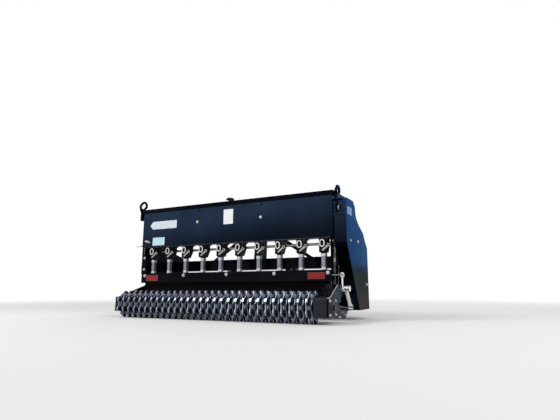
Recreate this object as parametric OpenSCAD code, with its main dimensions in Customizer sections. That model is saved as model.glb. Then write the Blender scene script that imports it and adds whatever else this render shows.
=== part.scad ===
// Compact seed drill for a three-point hitch, as it stands parked on its two rollers.
// Millimetres. +X is the machine's right, +Y the direction of travel, +Z up.
// The origin is at the middle of the machine's bounding box, on the ground.

/* [Hopper] */
// How far the hopper's end walls stand out past the end plates
hopper_overhang = 26; // [24:1:40]
// Depth of the hopper at the top, rear wall to front wall
hopper_depth = 430; // [380:1:470]
// Height of the hopper's floor above the ground, underside
hopper_floor_z = 607; // [590:1:640]
// Height of the hopper's rim above the ground
hopper_rim_z = 945; // [900:1:960]
// Depth of the flat floor over the seed cups
floor_depth = 140; // [135:1:170]
// Height of the upright part of the front wall
front_wall_h = 145; // [100:1:180]
// Thickness of the hopper sheet
sheet_t = 3; // [2:0.5:5]
// Thickness of the hopper's end walls
end_t = 5; // [3:0.5:8]

/* [Lid] */
// Height of the lid's flanges
lid_flange_h = 33; // [20:1:36]
// Gap between the lid's flanges and the hopper
lid_gap = 6; // [5:0.5:10]
// Gap between the lid and the rim that it rests on
lid_seat_gap = 0.3; // [0.2:0.1:1]
// Thickness of the lid sheet
lid_t = 3; // [2:0.5:4]
// Radius of the lid's hinge pin
hinge_pin_r = 4; // [3:0.5:5]
// Radius of the hinge knuckles
knuckle_r = 8; // [7:0.5:9]
// Length of the lid's knuckle in each hinge
knuckle_len = 60; // [40:1:90]
// Radius of the knob's cap
knob_r = 34; // [25:1:45]
// Height of the knob above the lid
knob_h = 36; // [30:1:45]

/* [Seed cups and tubes] */
// Number of rows
rows = 10; // [8:1:10]
// Distance from each end plate to the nearest row
row_margin = 60.5; // [55:0.5:70]
// Width of a seed cup
cup_w = 54; // [50:1:70]
// Depth of a seed cup
cup_d = 100; // [95:1:110]
// Height of a seed cup
cup_h = 112; // [95:1:120]
// Outer radius of a seed tube
tube_r = 20; // [16:0.5:22]
// Wall of a seed tube
tube_wall = 3; // [2:0.5:4]
// Height of the seed tubes' lower ends
tube_end_z = 335; // [300:1:350]
// Radius of the metering shaft
meter_r = 10; // [8:0.5:11]

/* [Frame] */
// Gap between the rollers' ends and the end plates
plate_gap = 14; // [12:1:20]
// Thickness of the end plates
plate_t = 10; // [8:1:12]
// Width of the square front toolbar
toolbar_w = 100; // [80:1:110]
// Wall of the front toolbar
toolbar_wall = 6; // [4:1:10]
// Height of the rear crossbar
crossbar_h = 80; // [70:1:90]
// Depth of the rear crossbar
crossbar_d = 40; // [35:1:50]
// Sheet of the rear crossbar
crossbar_t = 5; // [4:0.5:8]
// How far the rear crossbar stands out past the end plates
crossbar_over = 11; // [6:1:20]

/* [Hitch] */
// Half of the distance between the shoulders of the lower pins
hitch_half = 341.5; // [335:0.5:345]
// Radius of the lower hitch pins
lower_pin_r = 11; // [11:0.1:11.1]
// Free length of the lower hitch pins outside their shoulders
lower_pin_free = 60; // [55:1:70]
// Height of the lower hitch pins above the ground
lower_pin_z = 400; // [390:1:410]
// Height of the top link's bore above the lower hitch pins
mast_height = 457; // [450:1:470]
// Radius of the top link's bore
top_bore_r = 9.65; // [9.6:0.05:9.8]
// Gap between the mast's plates
mast_gap = 54; // [50:1:60]
// Thickness of the mast's plates and the hitch lugs
lug_t = 12; // [10:1:14]
// Gap between the two lugs of a pair
lug_gap = 52; // [46:1:60]

/* [Rollers] */
// Number of rings on each roller
rings = 29; // [25:2:29]
// Distance between rings
ring_pitch = 60; // [56:1:62]
// Tip radius of the rear crow-foot rings
rear_tip_r = 108; // [100:1:112]
// Radius of the rear rings between their feet
rear_root_r = 84; // [75:1:90]
// Feet on each side of a rear ring
rear_feet = 7; // [6:1:9]
// Width of one side of a rear ring
rear_ring_t = 21; // [15:1:25]
// Tip radius of the front notched rings
front_tip_r = 127; // [120:1:130]
// Radius of the front rings at the foot of their notches
front_root_r = 100; // [90:1:105]
// Notches in each front ring
front_notches = 12; // [8:1:16]
// Thickness of a front ring
front_ring_t = 26; // [20:1:32]
// Radius of the rollers' tubes
roller_tube_r = 45; // [35:1:50]
// Radius of the rollers' journals
journal_r = 17.5; // [15:0.5:20]
// Running clearance of shafts in their bores
running_gap = 0.05; // [0.01:0.01:0.1]

/* [Drive] */
// Pitch of the drive chain
chain_pitch = 15.875; // [15.5:0.025:16]
// Teeth of both chain wheels
chain_teeth = 14; // [12:2:16]
// Links in each straight run of the chain
chain_run = 21; // [20:1:21]
// Height of a chain link's side plate
link_h = 12; // [10:0.5:14]
// Width of the drive shield, from the hopper's end to its outer face
shield_w = 96; // [85:1:110]
// Thickness of the shield sheet
shield_t = 4; // [3:0.5:6]
// Width of the guard on the right roller arm
guard_w = 90; // [80:1:100]
// Radius of the stay beside the guard
stay_r = 13; // [9:0.5:15]

/* [Hidden] */
$fn = 48;

paint = "#15171c";
plated = "#c9c6be";
cast = "#3b3d40";
tube_grey = "#b9bac6";

// Roller places: the two feet beside the lowest point stand on the ground
rear_half_tip = 6;
front_half_tip = 7.5;
rear_axis_y = -207;
rear_axis_z = rear_tip_r * cos(90 / rear_feet - rear_half_tip);
front_axis_y = 440;
front_axis_z = front_tip_r * cos(180 / front_notches - front_half_tip);
ring_span = (rings - 1) * ring_pitch;
roller_half = (ring_span + ring_pitch) / 2;

// Frame stations across the machine
plate_in = roller_half + plate_gap;
plate_out = plate_in + plate_t;
hopper_half = plate_out + hopper_overhang;
crossbar_half = plate_out + crossbar_over;
shield_in = hopper_half;
shield_out = shield_in + shield_w;

// Hopper section, rear wall at y = 0
front_wall_z = hopper_rim_z - front_wall_h;
slope = (front_wall_z - hopper_floor_z) / (hopper_depth - floor_depth);
function slope_z(y) = hopper_floor_z + (y - floor_depth) * slope;
hopper_section = [
  [0, hopper_floor_z], [floor_depth, hopper_floor_z], [hopper_depth, front_wall_z],
  [hopper_depth, hopper_rim_z], [0, hopper_rim_z]
];
shell_half = hopper_half - end_t;

// Lid and its hinge line
lid_in_x = hopper_half + lid_gap;
lid_out_x = lid_in_x + lid_t;
lid_under_z = hopper_rim_z + lid_seat_gap;
lid_top_z = lid_under_z + lid_t;
lid_rear_y = -lid_gap - lid_t;
hinge_y = hopper_depth + knuckle_r + 3;
hinge_z = lid_top_z - knuckle_r;
hinge_x = [-2 * hopper_half / 3, 0, 2 * hopper_half / 3];
knuckle_gap = 1;
root_knuckle_len = 30;
leaf_t = 2.5;
leaf_h = 40;
knob_y = 40;

// Seed line
cup_y = 30;
cup_bottom_z = hopper_floor_z - cup_h;
flange_t = 5;
gate_h = 60;
meter_y = 95;
tube_y = 62;
spout_h = 8;
tube_lip = 4;
tube_lip_h = 22;
tube_stop_h = 12;
tube_gap = 0.3;
eye_r = 21;
eye_half = 8;
eye_bore_r = 12;
tube_top_z = cup_bottom_z - spout_h;
row_pitch = 2 * (plate_in - row_margin) / (rows - 1);
function row_x(i) = (i - (rows - 1) / 2) * row_pitch;
gate_y = 18;
gate_w = 12;
gate_t = 8;
agitator_y = floor_depth / 2;
agitator_z = hopper_floor_z + 53;
agitator_r = 9;
finger_r = 4;
finger_h = 30;

// Frame stations along the machine
crossbar_front_y = 36;
crossbar_rear_y = crossbar_front_y - crossbar_d;
crossbar_z = 282;
crossbar_top_z = crossbar_z + crossbar_h;
guide_t = 4;
guide_edge = 12;
deflector_t = 4;
deflector_foot_z = 200;
toolbar_y = 480;
toolbar_z = 400;
toolbar_front_y = toolbar_y + toolbar_w;
toolbar_top_z = toolbar_z + toolbar_w;
lug_pin_y = toolbar_front_y + 60;
lug_r = 36;
lug_h = 66;
lug_drop = 30;
collar_t = 6;
collar_r = 17;
pin_chamfer = 2;
lug_out = hitch_half - collar_t;
lug_in = lug_out - 2 * lug_t - lug_gap;
top_bore_y = toolbar_front_y + 32;
top_bore_z = lower_pin_z + mast_height;
mast_edge = 36;
brace_t = 10;
brace_h = 50;
brace_reach = 500;

// Roller arms, the guard on the right one, and the stay beside it
pivot_r = 12;
pivot_y = 60;
pivot_end_r = 21;
arm_in = plate_out + 2;
arm_t = 8;
arm_eye_r = 36;
guard_in = roller_half + 5;
guard_out = guard_in + guard_w;
guard_foot_z = 45;
journal_clear = 7;
stay_y = 160;
stay_z = 100;
stay_pin_r = 9;
stay_t = 2 * stay_r;
stay_x = guard_out + 6;
rod_r = 6.5;
rod_x = guard_out + 12;
rod_y = 6;
rod_foot_z = 222;
rod_collar_r = 11;
bracket_t = 8;

// Flange bearings of both rollers
flange_w = 130;
flange_h = 116;
bolt_y = 54;
bolt_z = 45;
bolt_r = 6;
boss_r = 36;
bearing_t = 10;
bearing_depth = 20;

// Drive: a chain wheel on the metering shaft over one on the jackshaft
wheel_pitch_r = chain_pitch / (2 * sin(180 / chain_teeth));
meter_z = hopper_floor_z - wheel_pitch_r - link_h / 2 - 3;
chain_x = plate_out + 18;
chain_rise = chain_run * chain_pitch;
pivot_z = meter_z - sqrt(chain_rise * chain_rise - pow(meter_y - pivot_y, 2));
chain_lean = atan2(meter_y - pivot_y, meter_z - pivot_z);
wheel_gap = 0.3;
wheel_r = wheel_pitch_r * cos(180 / chain_teeth) - link_h / 2 - wheel_gap;
wheel_t = 7;
guard_top_z = pivot_z + 31;

// Rate lever on the metering shaft's left end, and its bracket
lever_x = hopper_half + 15;
lever_t = 6;
lever_hub_r = 20;
rate_y = 16;
rate_w = 34;
rate_t = 5;

// Shield: its rear corner, its foot and its stepped front edge
shield_rear_y = 15;
shield_front_y = 575;
shield_foot_z = 70;
shield_top_z = hopper_rim_z - 52;
shield_corner_y = 50;
shield_corner_h = 25;
shield_outline = [
  [shield_rear_y, hopper_floor_z - 42], [298, shield_foot_z], [shield_front_y, shield_foot_z],
  [shield_front_y, 562], [518, 612], [468, 672], [352, 722], [282, 768], [262, 806], [258, 850],
  [205, shield_top_z], [shield_corner_y, shield_top_z], [shield_rear_y, shield_top_z - shield_corner_h]
];
standoffs = [[286, 588], [549, 264], [330, 190]];
standoff_r = 9;

// Leaning oval rings: the left one on the hopper's end wall, the right one on the shield's corner
ring_bar_r = 11;
ring_r = 28;
ring_half = 14;
ring_lean = 45;
ring_plate_t = 16;
ring_x = lid_out_x + 6 + ring_bar_r;
ring_y = 14;
ring_z = hopper_rim_z + 45;
ring_foot_h = 50;
ring_foot_z = hopper_rim_z - 95;
shield_ring_y = shield_corner_y - 4;
shield_ring_z = shield_top_z + 57;
shield_foot_h = 113;
shield_foot_t = 12;

// Loop for the lid's strap on the shield's rear face
latch_x = (shield_in + shield_out) / 2;
latch_z = shield_top_z - 82;
latch_r = 20;
latch_bar_r = 5;
latch_leg = 7;

// Machine extremes, for the frame's origin
rear_y = rear_axis_y - rear_axis_z;
front_y = lug_pin_y + lug_r;
mid_y = (rear_y + front_y) / 2;

module place() {
  translate([0, -mid_y, 0]) children();
}

// A plate that stands across the machine: its outline is in Y and Z, from x0 to x1
module across(x0, x1) {
  translate([x0, 0, 0]) rotate([90, 0, 90]) linear_extrude(x1 - x0) children();
}

// A round bar or bore along X
module bar(x0, x1, y, z, r) {
  translate([x0, y, z]) rotate([0, 90, 0]) cylinder(r = r, h = x1 - x0);
}

module both_sides() {
  children();
  mirror([1, 0, 0]) children();
}

// An outline that runs anticlockwise, moved in by t on all its sides
function inset(points, t) = [
  for (i = [0 : len(points) - 1])
    let (n = len(points), here = points[i])
    let (u = here - points[(i + n - 1) % n], v = points[(i + 1) % n] - here)
    let (a = u / norm(u), b = v / norm(v))
      here + t * [-a[1] - b[1], a[0] + b[0]] / (1 + a * b)
];

module end_plate_outline() {
  difference() {
    polygon([
      [crossbar_front_y, 195], [110, 195], [200, 235], [270, 235], [300, 140], [stay_y - 4, stay_z + 24],
      [stay_y - 22, stay_z + 8], [stay_y - 22, stay_z - 8], [stay_y - 4, stay_z - 24], [375, 60],
      [505, 60], [540, 90], [toolbar_front_y + 20, toolbar_z - 20],
      [toolbar_front_y + 20, toolbar_top_z + 20], [420, 570], [300, slope_z(300)],
      [floor_depth, hopper_floor_z], [crossbar_front_y, hopper_floor_z]
    ]);
    translate([pivot_y, pivot_z]) circle(r = pivot_r + running_gap);
    translate([stay_y, stay_z]) circle(r = stay_pin_r);
    translate([front_axis_y, front_axis_z]) circle(r = journal_r + journal_clear);
    translate([meter_y, meter_z]) circle(r = meter_r + running_gap);
  }
}

module left_end_plate() {
  color(paint) place() across(-plate_out, -plate_in) end_plate_outline();
}

module right_end_plate() {
  color(paint) place() across(plate_in, plate_out) end_plate_outline();
}

module front_toolbar() {
  inner = toolbar_w - 2 * toolbar_wall;
  color(paint) place() difference() {
    translate([-plate_in, toolbar_y, toolbar_z]) cube([2 * plate_in, toolbar_w, toolbar_w]);
    translate([-plate_in - 1, toolbar_y + toolbar_wall, toolbar_z + toolbar_wall])
      cube([2 * plate_in + 2, inner, inner]);
  }
}

// A channel that is open to the front and closed at both ends
module rear_crossbar() {
  color(paint) place() difference() {
    translate([-crossbar_half, crossbar_rear_y, crossbar_z])
      cube([2 * crossbar_half, crossbar_d, crossbar_h]);
    translate([crossbar_t - crossbar_half, crossbar_rear_y + crossbar_t, crossbar_z + crossbar_t])
      cube([2 * (crossbar_half - crossbar_t), crossbar_d, crossbar_h - 2 * crossbar_t]);
  }
}

module hitch_mast() {
  rear = top_bore_y - mast_edge - 4;
  front = top_bore_y + mast_edge;
  color(paint) place() both_sides() across(mast_gap / 2, mast_gap / 2 + lug_t) difference() {
    polygon([
      [toolbar_front_y, toolbar_z], [top_bore_y + 8, toolbar_z], [front, top_bore_z - 30],
      [front, top_bore_z + 18], [front - 18, top_bore_z + mast_edge], [rear + 18, top_bore_z + mast_edge],
      [rear, top_bore_z + 18], [toolbar_y + 40, toolbar_top_z], [toolbar_front_y, toolbar_top_z]
    ]);
    translate([top_bore_y, top_bore_z]) circle(r = top_bore_r);
  }
}

module mast_braces() {
  side = mast_gap / 2 + lug_t;
  high = top_bore_z - 32;
  color(paint) place() both_sides() translate([0, toolbar_front_y - 3, 0]) rotate([90, 0, 0])
    linear_extrude(brace_t) polygon([
      [side, high - brace_h], [side, high], [side + brace_reach, toolbar_top_z],
      [side + brace_reach - brace_h, toolbar_top_z]
    ]);
}

module lug_outline() {
  difference() {
    union() {
      translate([toolbar_front_y, toolbar_z - lug_drop]) square([lug_pin_y - toolbar_front_y, lug_h]);
      translate([lug_pin_y, lower_pin_z]) circle(r = lug_r);
    }
    translate([lug_pin_y, lower_pin_z]) circle(r = lower_pin_r);
  }
}

module hitch_lugs() {
  color(paint) place() both_sides() {
    across(lug_in, lug_in + lug_t) lug_outline();
    across(lug_out - lug_t, lug_out) lug_outline();
  }
}

// Each pin runs through both lugs, and its free end stands out past a shoulder
module hitch_pins() {
  color(plated) place() both_sides() translate([0, lug_pin_y, lower_pin_z]) union() {
    bar(lug_in - collar_t, lug_in, 0, 0, collar_r);
    bar(lug_in - collar_t, hitch_half, 0, 0, lower_pin_r - running_gap);
    bar(lug_out, hitch_half, 0, 0, collar_r);
    bar(hitch_half, hitch_half + lower_pin_free, 0, 0, lower_pin_r);
    translate([hitch_half + lower_pin_free, 0, 0]) rotate([0, 90, 0])
      cylinder(r1 = lower_pin_r, r2 = lower_pin_r - pin_chamfer, h = pin_chamfer);
  }
}

module hopper_shell() {
  outlet = 2 * tube_r;
  open_top = [
    for (p = inset(hopper_section, sheet_t)) p[1] > front_wall_z + sheet_t ? [p[0], hopper_rim_z + 1] : p
  ];
  color(paint) place() difference() {
    across(-shell_half, shell_half) polygon(hopper_section);
    across(-shell_half - 1, shell_half + 1) polygon(open_top);
    for (i = [0 : rows - 1])
      translate([row_x(i) - tube_r, cup_y + sheet_t * 4, hopper_floor_z - 1])
        cube([outlet, outlet, sheet_t + 2]);
  }
}

module hopper_left_end() {
  color(paint) place() across(-hopper_half, -shell_half) polygon(hopper_section);
}

module hopper_right_end() {
  color(paint) place() across(shell_half, hopper_half) polygon(hopper_section);
}

module hopper_hinges() {
  near = knuckle_len / 2 + knuckle_gap;
  color(plated) place() for (x = hinge_x) union() {
    bar(x - near - root_knuckle_len, x + near + root_knuckle_len, hinge_y, hinge_z, hinge_pin_r);
    for (side = [-1, 1]) {
      start = x + side * (near + root_knuckle_len / 2) - root_knuckle_len / 2;
      bar(start, start + root_knuckle_len, hinge_y, hinge_z, knuckle_r);
      translate([start, hopper_depth, hinge_z - leaf_h]) cube([root_knuckle_len, leaf_t, leaf_h]);
      translate([start, hopper_depth, hinge_z - leaf_t]) cube([root_knuckle_len, knuckle_r, leaf_t]);
    }
  }
}

module agitator() {
  color(plated) place() union() {
    bar(-shell_half, shell_half, agitator_y, agitator_z, agitator_r);
    for (i = [0 : rows - 1])
      translate([row_x(i), agitator_y, agitator_z - finger_h]) cylinder(r = finger_r, h = 2 * finger_h);
  }
}

module metering_shaft() {
  color(plated) place() bar(-lever_x - 10, chain_x + 12, meter_y, meter_z, meter_r);
}

module gate_strip() {
  color(plated) place() translate([-plate_in, gate_y, hopper_floor_z - gate_t])
    cube([2 * plate_in, gate_w, gate_t]);
}

// A cup is bolted under the floor, holds the feed roll's round housing and ends in a spout
module seed_cups() {
  rear = cup_y + cup_d;
  color(plated) place() for (i = [0 : rows - 1]) difference() {
    union() {
      across(row_x(i) - cup_w / 2, row_x(i) + cup_w / 2) polygon([
        [cup_y, hopper_floor_z - flange_t], [cup_y, cup_bottom_z + 6], [cup_y + 6, cup_bottom_z],
        [rear - 40, cup_bottom_z], [rear - 10, hopper_floor_z - gate_h],
        [rear - 10, hopper_floor_z - flange_t]
      ]);
      translate([row_x(i) - cup_w / 2 - 10, cup_y, hopper_floor_z - flange_t])
        cube([cup_w + 20, cup_d, flange_t]);
      bar(row_x(i) - cup_w / 2 - 6, row_x(i) + cup_w / 2 + 6, meter_y, meter_z, meter_r + 12);
      translate([row_x(i), tube_y, tube_top_z]) cylinder(r = tube_r + 3, h = spout_h + 2);
    }
    bar(row_x(i) - cup_w, row_x(i) + cup_w, meter_y, meter_z, meter_r + running_gap);
    translate([row_x(i), tube_y, tube_top_z - 1]) cylinder(r = tube_r - tube_wall, h = spout_h + 14);
  }
}

module oval(r, half, h) {
  for (side = [-1, 1]) translate([0, side * half, 0]) cylinder(r = r, h = h);
  translate([-r, -half, 0]) cube([2 * r, 2 * half, h]);
}

// The oval eye on the rear face of each cup, behind the feed roll
module cup_rings() {
  color(plated) place() for (i = [0 : rows - 1])
    translate([row_x(i), cup_y, meter_z]) rotate([90, 0, 0]) difference() {
      union() oval(eye_r, eye_half, gate_w - 3);
      translate([0, 0, -1]) oval(eye_bore_r, eye_half, gate_w);
    }
}

// The gate lever that rises to the right from each cup's foot and ends in an eye
module cup_levers() {
  reach = 49;
  rise = 40;
  half = 6.5;
  lean = atan2(rise, reach);
  color(plated) place() for (i = [0 : rows - 1])
    translate([row_x(i), cup_y, cup_bottom_z + 12]) rotate([90, 0, 0]) rotate([0, 0, lean]) difference() {
      union() {
        translate([0, -half, 0]) cube([norm([reach, rise]), 2 * half, half]);
        translate([norm([reach, rise]), 0, 0]) cylinder(r = 2 * half, h = half);
      }
      translate([norm([reach, rise]), 0, -1]) cylinder(r = half, h = half + 2);
    }
}

module seed_tubes() {
  length = tube_top_z - tube_end_z;
  color(tube_grey) place() for (i = [0 : rows - 1]) translate([row_x(i), tube_y, tube_end_z]) difference() {
    union() {
      cylinder(r = tube_r, h = length);
      translate([0, 0, length - tube_lip_h]) cylinder(r = tube_r + tube_lip, h = tube_lip_h);
      translate([0, 0, crossbar_top_z + guide_t + tube_gap - tube_end_z])
        cylinder(r = tube_r + tube_lip / 2, h = tube_stop_h);
    }
    translate([0, 0, -1]) cylinder(r = tube_r - tube_wall, h = length + 2);
  }
}

// A strip on the crossbar's top with a hole for each tube
module tube_guide() {
  depth = tube_y + tube_r + guide_edge - crossbar_rear_y - crossbar_t;
  color(paint) place() difference() {
    translate([-plate_in, crossbar_rear_y + crossbar_t, crossbar_top_z]) cube([2 * plate_in, depth, guide_t]);
    for (i = [0 : rows - 1])
      translate([row_x(i), tube_y, crossbar_top_z - 1]) cylinder(r = tube_r + tube_gap, h = guide_t + 2);
  }
}

// A sheet that hangs from the crossbar behind the falling seed
module deflector() {
  color(paint) place() translate([-plate_in, crossbar_front_y - deflector_t, deflector_foot_z])
    cube([2 * plate_in, deflector_t, crossbar_z - deflector_foot_z]);
}

module shield_standoffs() {
  color(plated) place() for (p = standoffs) bar(plate_out, shield_out - shield_t, p[0], p[1], standoff_r);
}

// A pan that is open towards the machine
module drive_shield() {
  color(paint) place() difference() {
    across(shield_in, shield_out) polygon(shield_outline);
    across(shield_in - 1, shield_out - shield_t) polygon(inset(shield_outline, shield_t));
  }
}

// Where pin k of the chain lies, counted up the rear run, over the top wheel and back
function chain_pin(k) =
  k < chain_run ? [-wheel_pitch_r, k * chain_pitch] :
  k < chain_run + chain_teeth / 2 ?
    let (a = 180 - (k - chain_run) * 360 / chain_teeth)
      [wheel_pitch_r * cos(a), chain_rise + wheel_pitch_r * sin(a)] :
  k < 2 * chain_run + chain_teeth / 2 ?
    [wheel_pitch_r, chain_rise - (k - chain_run - chain_teeth / 2) * chain_pitch] :
    let (a = -(k - 2 * chain_run - chain_teeth / 2) * 360 / chain_teeth)
      [wheel_pitch_r * cos(a), wheel_pitch_r * sin(a)];

module chain_link(from, to, half_w) {
  step = to - from;
  h = link_h / 2;
  c = h * 2 / 3;
  p = norm(step);
  across(chain_x - half_w, chain_x + half_w)
    translate([pivot_y, pivot_z]) rotate(-chain_lean) translate(from) rotate(atan2(step[1], step[0]))
      polygon([
        [-c, -h / 2], [-c, h / 2], [0, h], [c, h], [p / 2, h * 0.72], [p - c, h], [p, h], [p + c, h / 2],
        [p + c, -h / 2], [p, -h], [p - c, -h], [p / 2, -h * 0.72], [c, -h], [0, -h]
      ]);
}

module drive_chain() {
  links = 2 * chain_run + chain_teeth;
  color(plated) place() union()
    for (k = [0 : links - 1]) chain_link(chain_pin(k), chain_pin((k + 1) % links), k % 2 == 0 ? 6 : 4.5);
}

module chain_wheels() {
  color(cast) place() for (c = [[meter_y, meter_z, meter_r], [pivot_y, pivot_z, pivot_r]]) difference() {
    bar(chain_x - wheel_t / 2, chain_x + wheel_t / 2, c[0], c[1], wheel_r);
    bar(chain_x - wheel_t, chain_x + wheel_t, c[0], c[1], c[2] + running_gap);
  }
}

// The right half carries the chain wheel, the right arm and the stay, and ends in a collar
module jackshaft() {
  right_end = stay_x + stay_t;
  color(plated) place() {
    union() {
      bar(plate_in - 12, right_end + 6, pivot_y, pivot_z, pivot_r);
      bar(right_end, right_end + 18, pivot_y, pivot_z, pivot_end_r);
    }
    bar(-plate_out - 16, 12 - plate_in, pivot_y, pivot_z, pivot_r);
  }
}

module rate_bracket() {
  color(plated) place() translate([-hopper_half - shield_w, rate_y, hopper_floor_z + rate_t])
    cube([shield_w, rate_w, rate_t]);
}

module rate_lever() {
  tip = hopper_floor_z + 43;
  color(plated) place() difference() {
    across(-lever_x - lever_t / 2, -lever_x + lever_t / 2) union() {
      translate([meter_y, meter_z]) circle(r = lever_hub_r);
      polygon([[meter_y - 8, meter_z], [meter_y + 8, meter_z], [meter_y - 29, tip], [meter_y - 41, tip - 4]]);
    }
    bar(-lever_x - lever_t, -lever_x + lever_t, meter_y, meter_z, meter_r + running_gap);
  }
}

module arm_plate(x0, x1) {
  bar(x0, x1, pivot_y, pivot_z, arm_eye_r);
  across(x0, x1) polygon([
    [pivot_y - 12, pivot_z + arm_eye_r - 4], [pivot_y + 20, pivot_z], [pivot_y + 12, pivot_z + 4 - arm_eye_r],
    [rear_axis_y + 30, 58], [rear_axis_y - 52, 58], [rear_axis_y - 62, 70],
    [rear_axis_y - 62, 150], [rear_axis_y - 42, 168]
  ]);
}

module arm_bores(x0, x1) {
  bar(x0 - 1, x1 + 1, pivot_y, pivot_z, pivot_r + running_gap);
  bar(x0 - 1, x1 + 1, rear_axis_y, rear_axis_z, journal_r + journal_clear);
}

module left_roller_arm() {
  color(paint) place() difference() {
    union() arm_plate(-arm_in - arm_t, -arm_in);
    arm_bores(-arm_in - arm_t, -arm_in);
  }
}

module right_roller_arm() {
  rear = rear_axis_y - 93;
  front = pivot_y - 58;
  color(paint) place() difference() {
    union() {
      across(guard_in, guard_out) polygon([
        [rear, guard_foot_z], [front, guard_foot_z], [front, 80], [front - 50, 130], [front, 140],
        [front, guard_top_z], [front - 72, guard_top_z], [rear_axis_y - 18, 178],
        [rear + 12, 172], [rear, 160]
      ]);
      arm_plate(arm_in, arm_in + arm_t);
      across(chain_x + 10, guard_out) polygon([
        [front, pivot_z - 41], [pivot_y + 30, pivot_z - 41], [pivot_y + 45, pivot_z - 21],
        [pivot_y + 45, pivot_z + 14], [pivot_y + 28, guard_top_z], [front, guard_top_z]
      ]);
    }
    arm_bores(guard_in, guard_out);
  }
}

// A round stay from the pivot down to the end plate's foot
module stay_link() {
  run = [stay_y - pivot_y, stay_z - pivot_z];
  lean = atan2(run[0], run[1]);
  color(plated) place() difference() {
    union() {
      translate([stay_x + stay_r, pivot_y, pivot_z]) rotate([-lean, 0, 0])
        cylinder(r = stay_r, h = norm(run));
      bar(stay_x, stay_x + stay_t, pivot_y, pivot_z, pivot_end_r + 2);
      bar(stay_x, stay_x + stay_t, stay_y, stay_z, stay_pin_r + 9);
    }
    bar(stay_x - 1, stay_x + stay_t + 1, pivot_y, pivot_z, pivot_r + running_gap);
    bar(stay_x - 1, stay_x + stay_t + 1, stay_y, stay_z, stay_pin_r + running_gap);
  }
}

module stay_pin() {
  color(plated) place() union() {
    bar(plate_in - 6, stay_x + stay_t + 6, stay_y, stay_z, stay_pin_r);
    bar(plate_in - 12, plate_in, stay_y, stay_z, stay_pin_r + 4);
  }
}

module pressure_rod() {
  top = crossbar_top_z - 18;
  color(plated) place() union() {
    translate([rod_x, rod_y, rod_foot_z]) cylinder(r = rod_r, h = top - rod_foot_z);
    bar(guard_out, rod_x + rod_collar_r, rod_y, rod_foot_z, rod_collar_r);
    translate([rod_x, rod_y, top - 14]) cylinder(r = rod_collar_r, h = bracket_t);
  }
}

module rod_bracket() {
  low = crossbar_top_z - 40;
  color(paint) place() difference() {
    translate([crossbar_half, rod_y - 14, low]) cube([rod_x + 14 - crossbar_half, 28, bracket_t]);
    translate([rod_x, rod_y, low - 1]) cylinder(r = rod_r + running_gap, h = bracket_t + 2);
  }
}

// A bearing in a four-bolt flange: built flat, its shaft along Z
module flange_bearing() {
  difference() {
    union() {
      linear_extrude(bearing_t) difference() {
        square([flange_h, flange_w], center = true);
        for (x = [-bolt_z, bolt_z], y = [-bolt_y, bolt_y]) translate([x, y]) circle(r = bolt_r);
      }
      cylinder(r = boss_r, h = bearing_depth);
    }
    translate([0, 0, -1]) cylinder(r = journal_r + running_gap, h = bearing_depth + 2);
  }
}

module rear_bearings() {
  color(cast) place() {
    translate([guard_out, rear_axis_y, rear_axis_z]) rotate([0, 90, 0]) flange_bearing();
    translate([-arm_in - arm_t, rear_axis_y, rear_axis_z]) rotate([0, -90, 0]) flange_bearing();
  }
}

module front_bearings() {
  color(cast) place() both_sides() translate([plate_out, front_axis_y, front_axis_z]) rotate([0, 90, 0])
    flange_bearing();
}

module reflectors() {
  length = 124;
  color("#b01018") place() both_sides()
    translate([crossbar_half - length - 13, crossbar_rear_y - 8, crossbar_z + 10])
      cube([length, 8, crossbar_h - 20]);
}

module lifting_eye(x, y, z) {
  translate([x, y, z]) rotate([-ring_lean, 0, 0]) for (turn = [0, 180]) rotate([turn, 0, 0]) {
    translate([0, 0, ring_half]) rotate([90, 0, 90]) rotate_extrude(angle = 180)
      translate([ring_r, 0]) circle(r = ring_bar_r);
    translate([0, ring_r, -ring_half]) cylinder(r = ring_bar_r, h = 2 * ring_half);
  }
}

module lifting_rings() {
  color(paint) place() {
    union() {
      lifting_eye(-ring_x, ring_y, ring_z);
      across(-ring_x - ring_plate_t / 2, -ring_x + ring_plate_t / 2) polygon([
        [ring_y - 24, ring_foot_z], [ring_y + 8, ring_foot_z], [ring_y + 8, ring_z - 65],
        [ring_y - 10, ring_z - 26], [ring_y - 42, ring_z - 32], [ring_y - 24, ring_z - 65]
      ]);
      translate([-ring_x, 0, ring_foot_z]) cube([ring_x - hopper_half, ring_y + 8, ring_foot_h]);
    }
    union() {
      lifting_eye(ring_x, shield_ring_y, shield_ring_z);
      across(ring_x - ring_plate_t / 2, ring_x + ring_plate_t / 2) polygon([
        [shield_rear_y - shield_foot_t, shield_top_z - shield_foot_h],
        [shield_rear_y, shield_top_z - shield_foot_h],
        [shield_rear_y, shield_top_z - shield_corner_h], [shield_corner_y, shield_top_z],
        [shield_corner_y + 2, shield_top_z + 10], [shield_ring_y - 16, shield_ring_z - 24],
        [shield_ring_y - 40, shield_ring_z - 30], [shield_rear_y - shield_foot_t, shield_top_z - 10]
      ]);
    }
  }
}

module lid_latch() {
  color(plated) place() translate([latch_x, shield_rear_y, latch_z]) union() {
    translate([0, -latch_leg, 0]) rotate([90, 0, 0]) rotate([90, 0, 90]) rotate_extrude(angle = 180)
      translate([latch_r, 0]) circle(r = latch_bar_r);
    for (side = [-1, 1]) translate([0, -latch_leg, side * latch_r]) rotate([-90, 0, 0])
      cylinder(r = latch_bar_r, h = latch_leg);
  }
}

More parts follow.
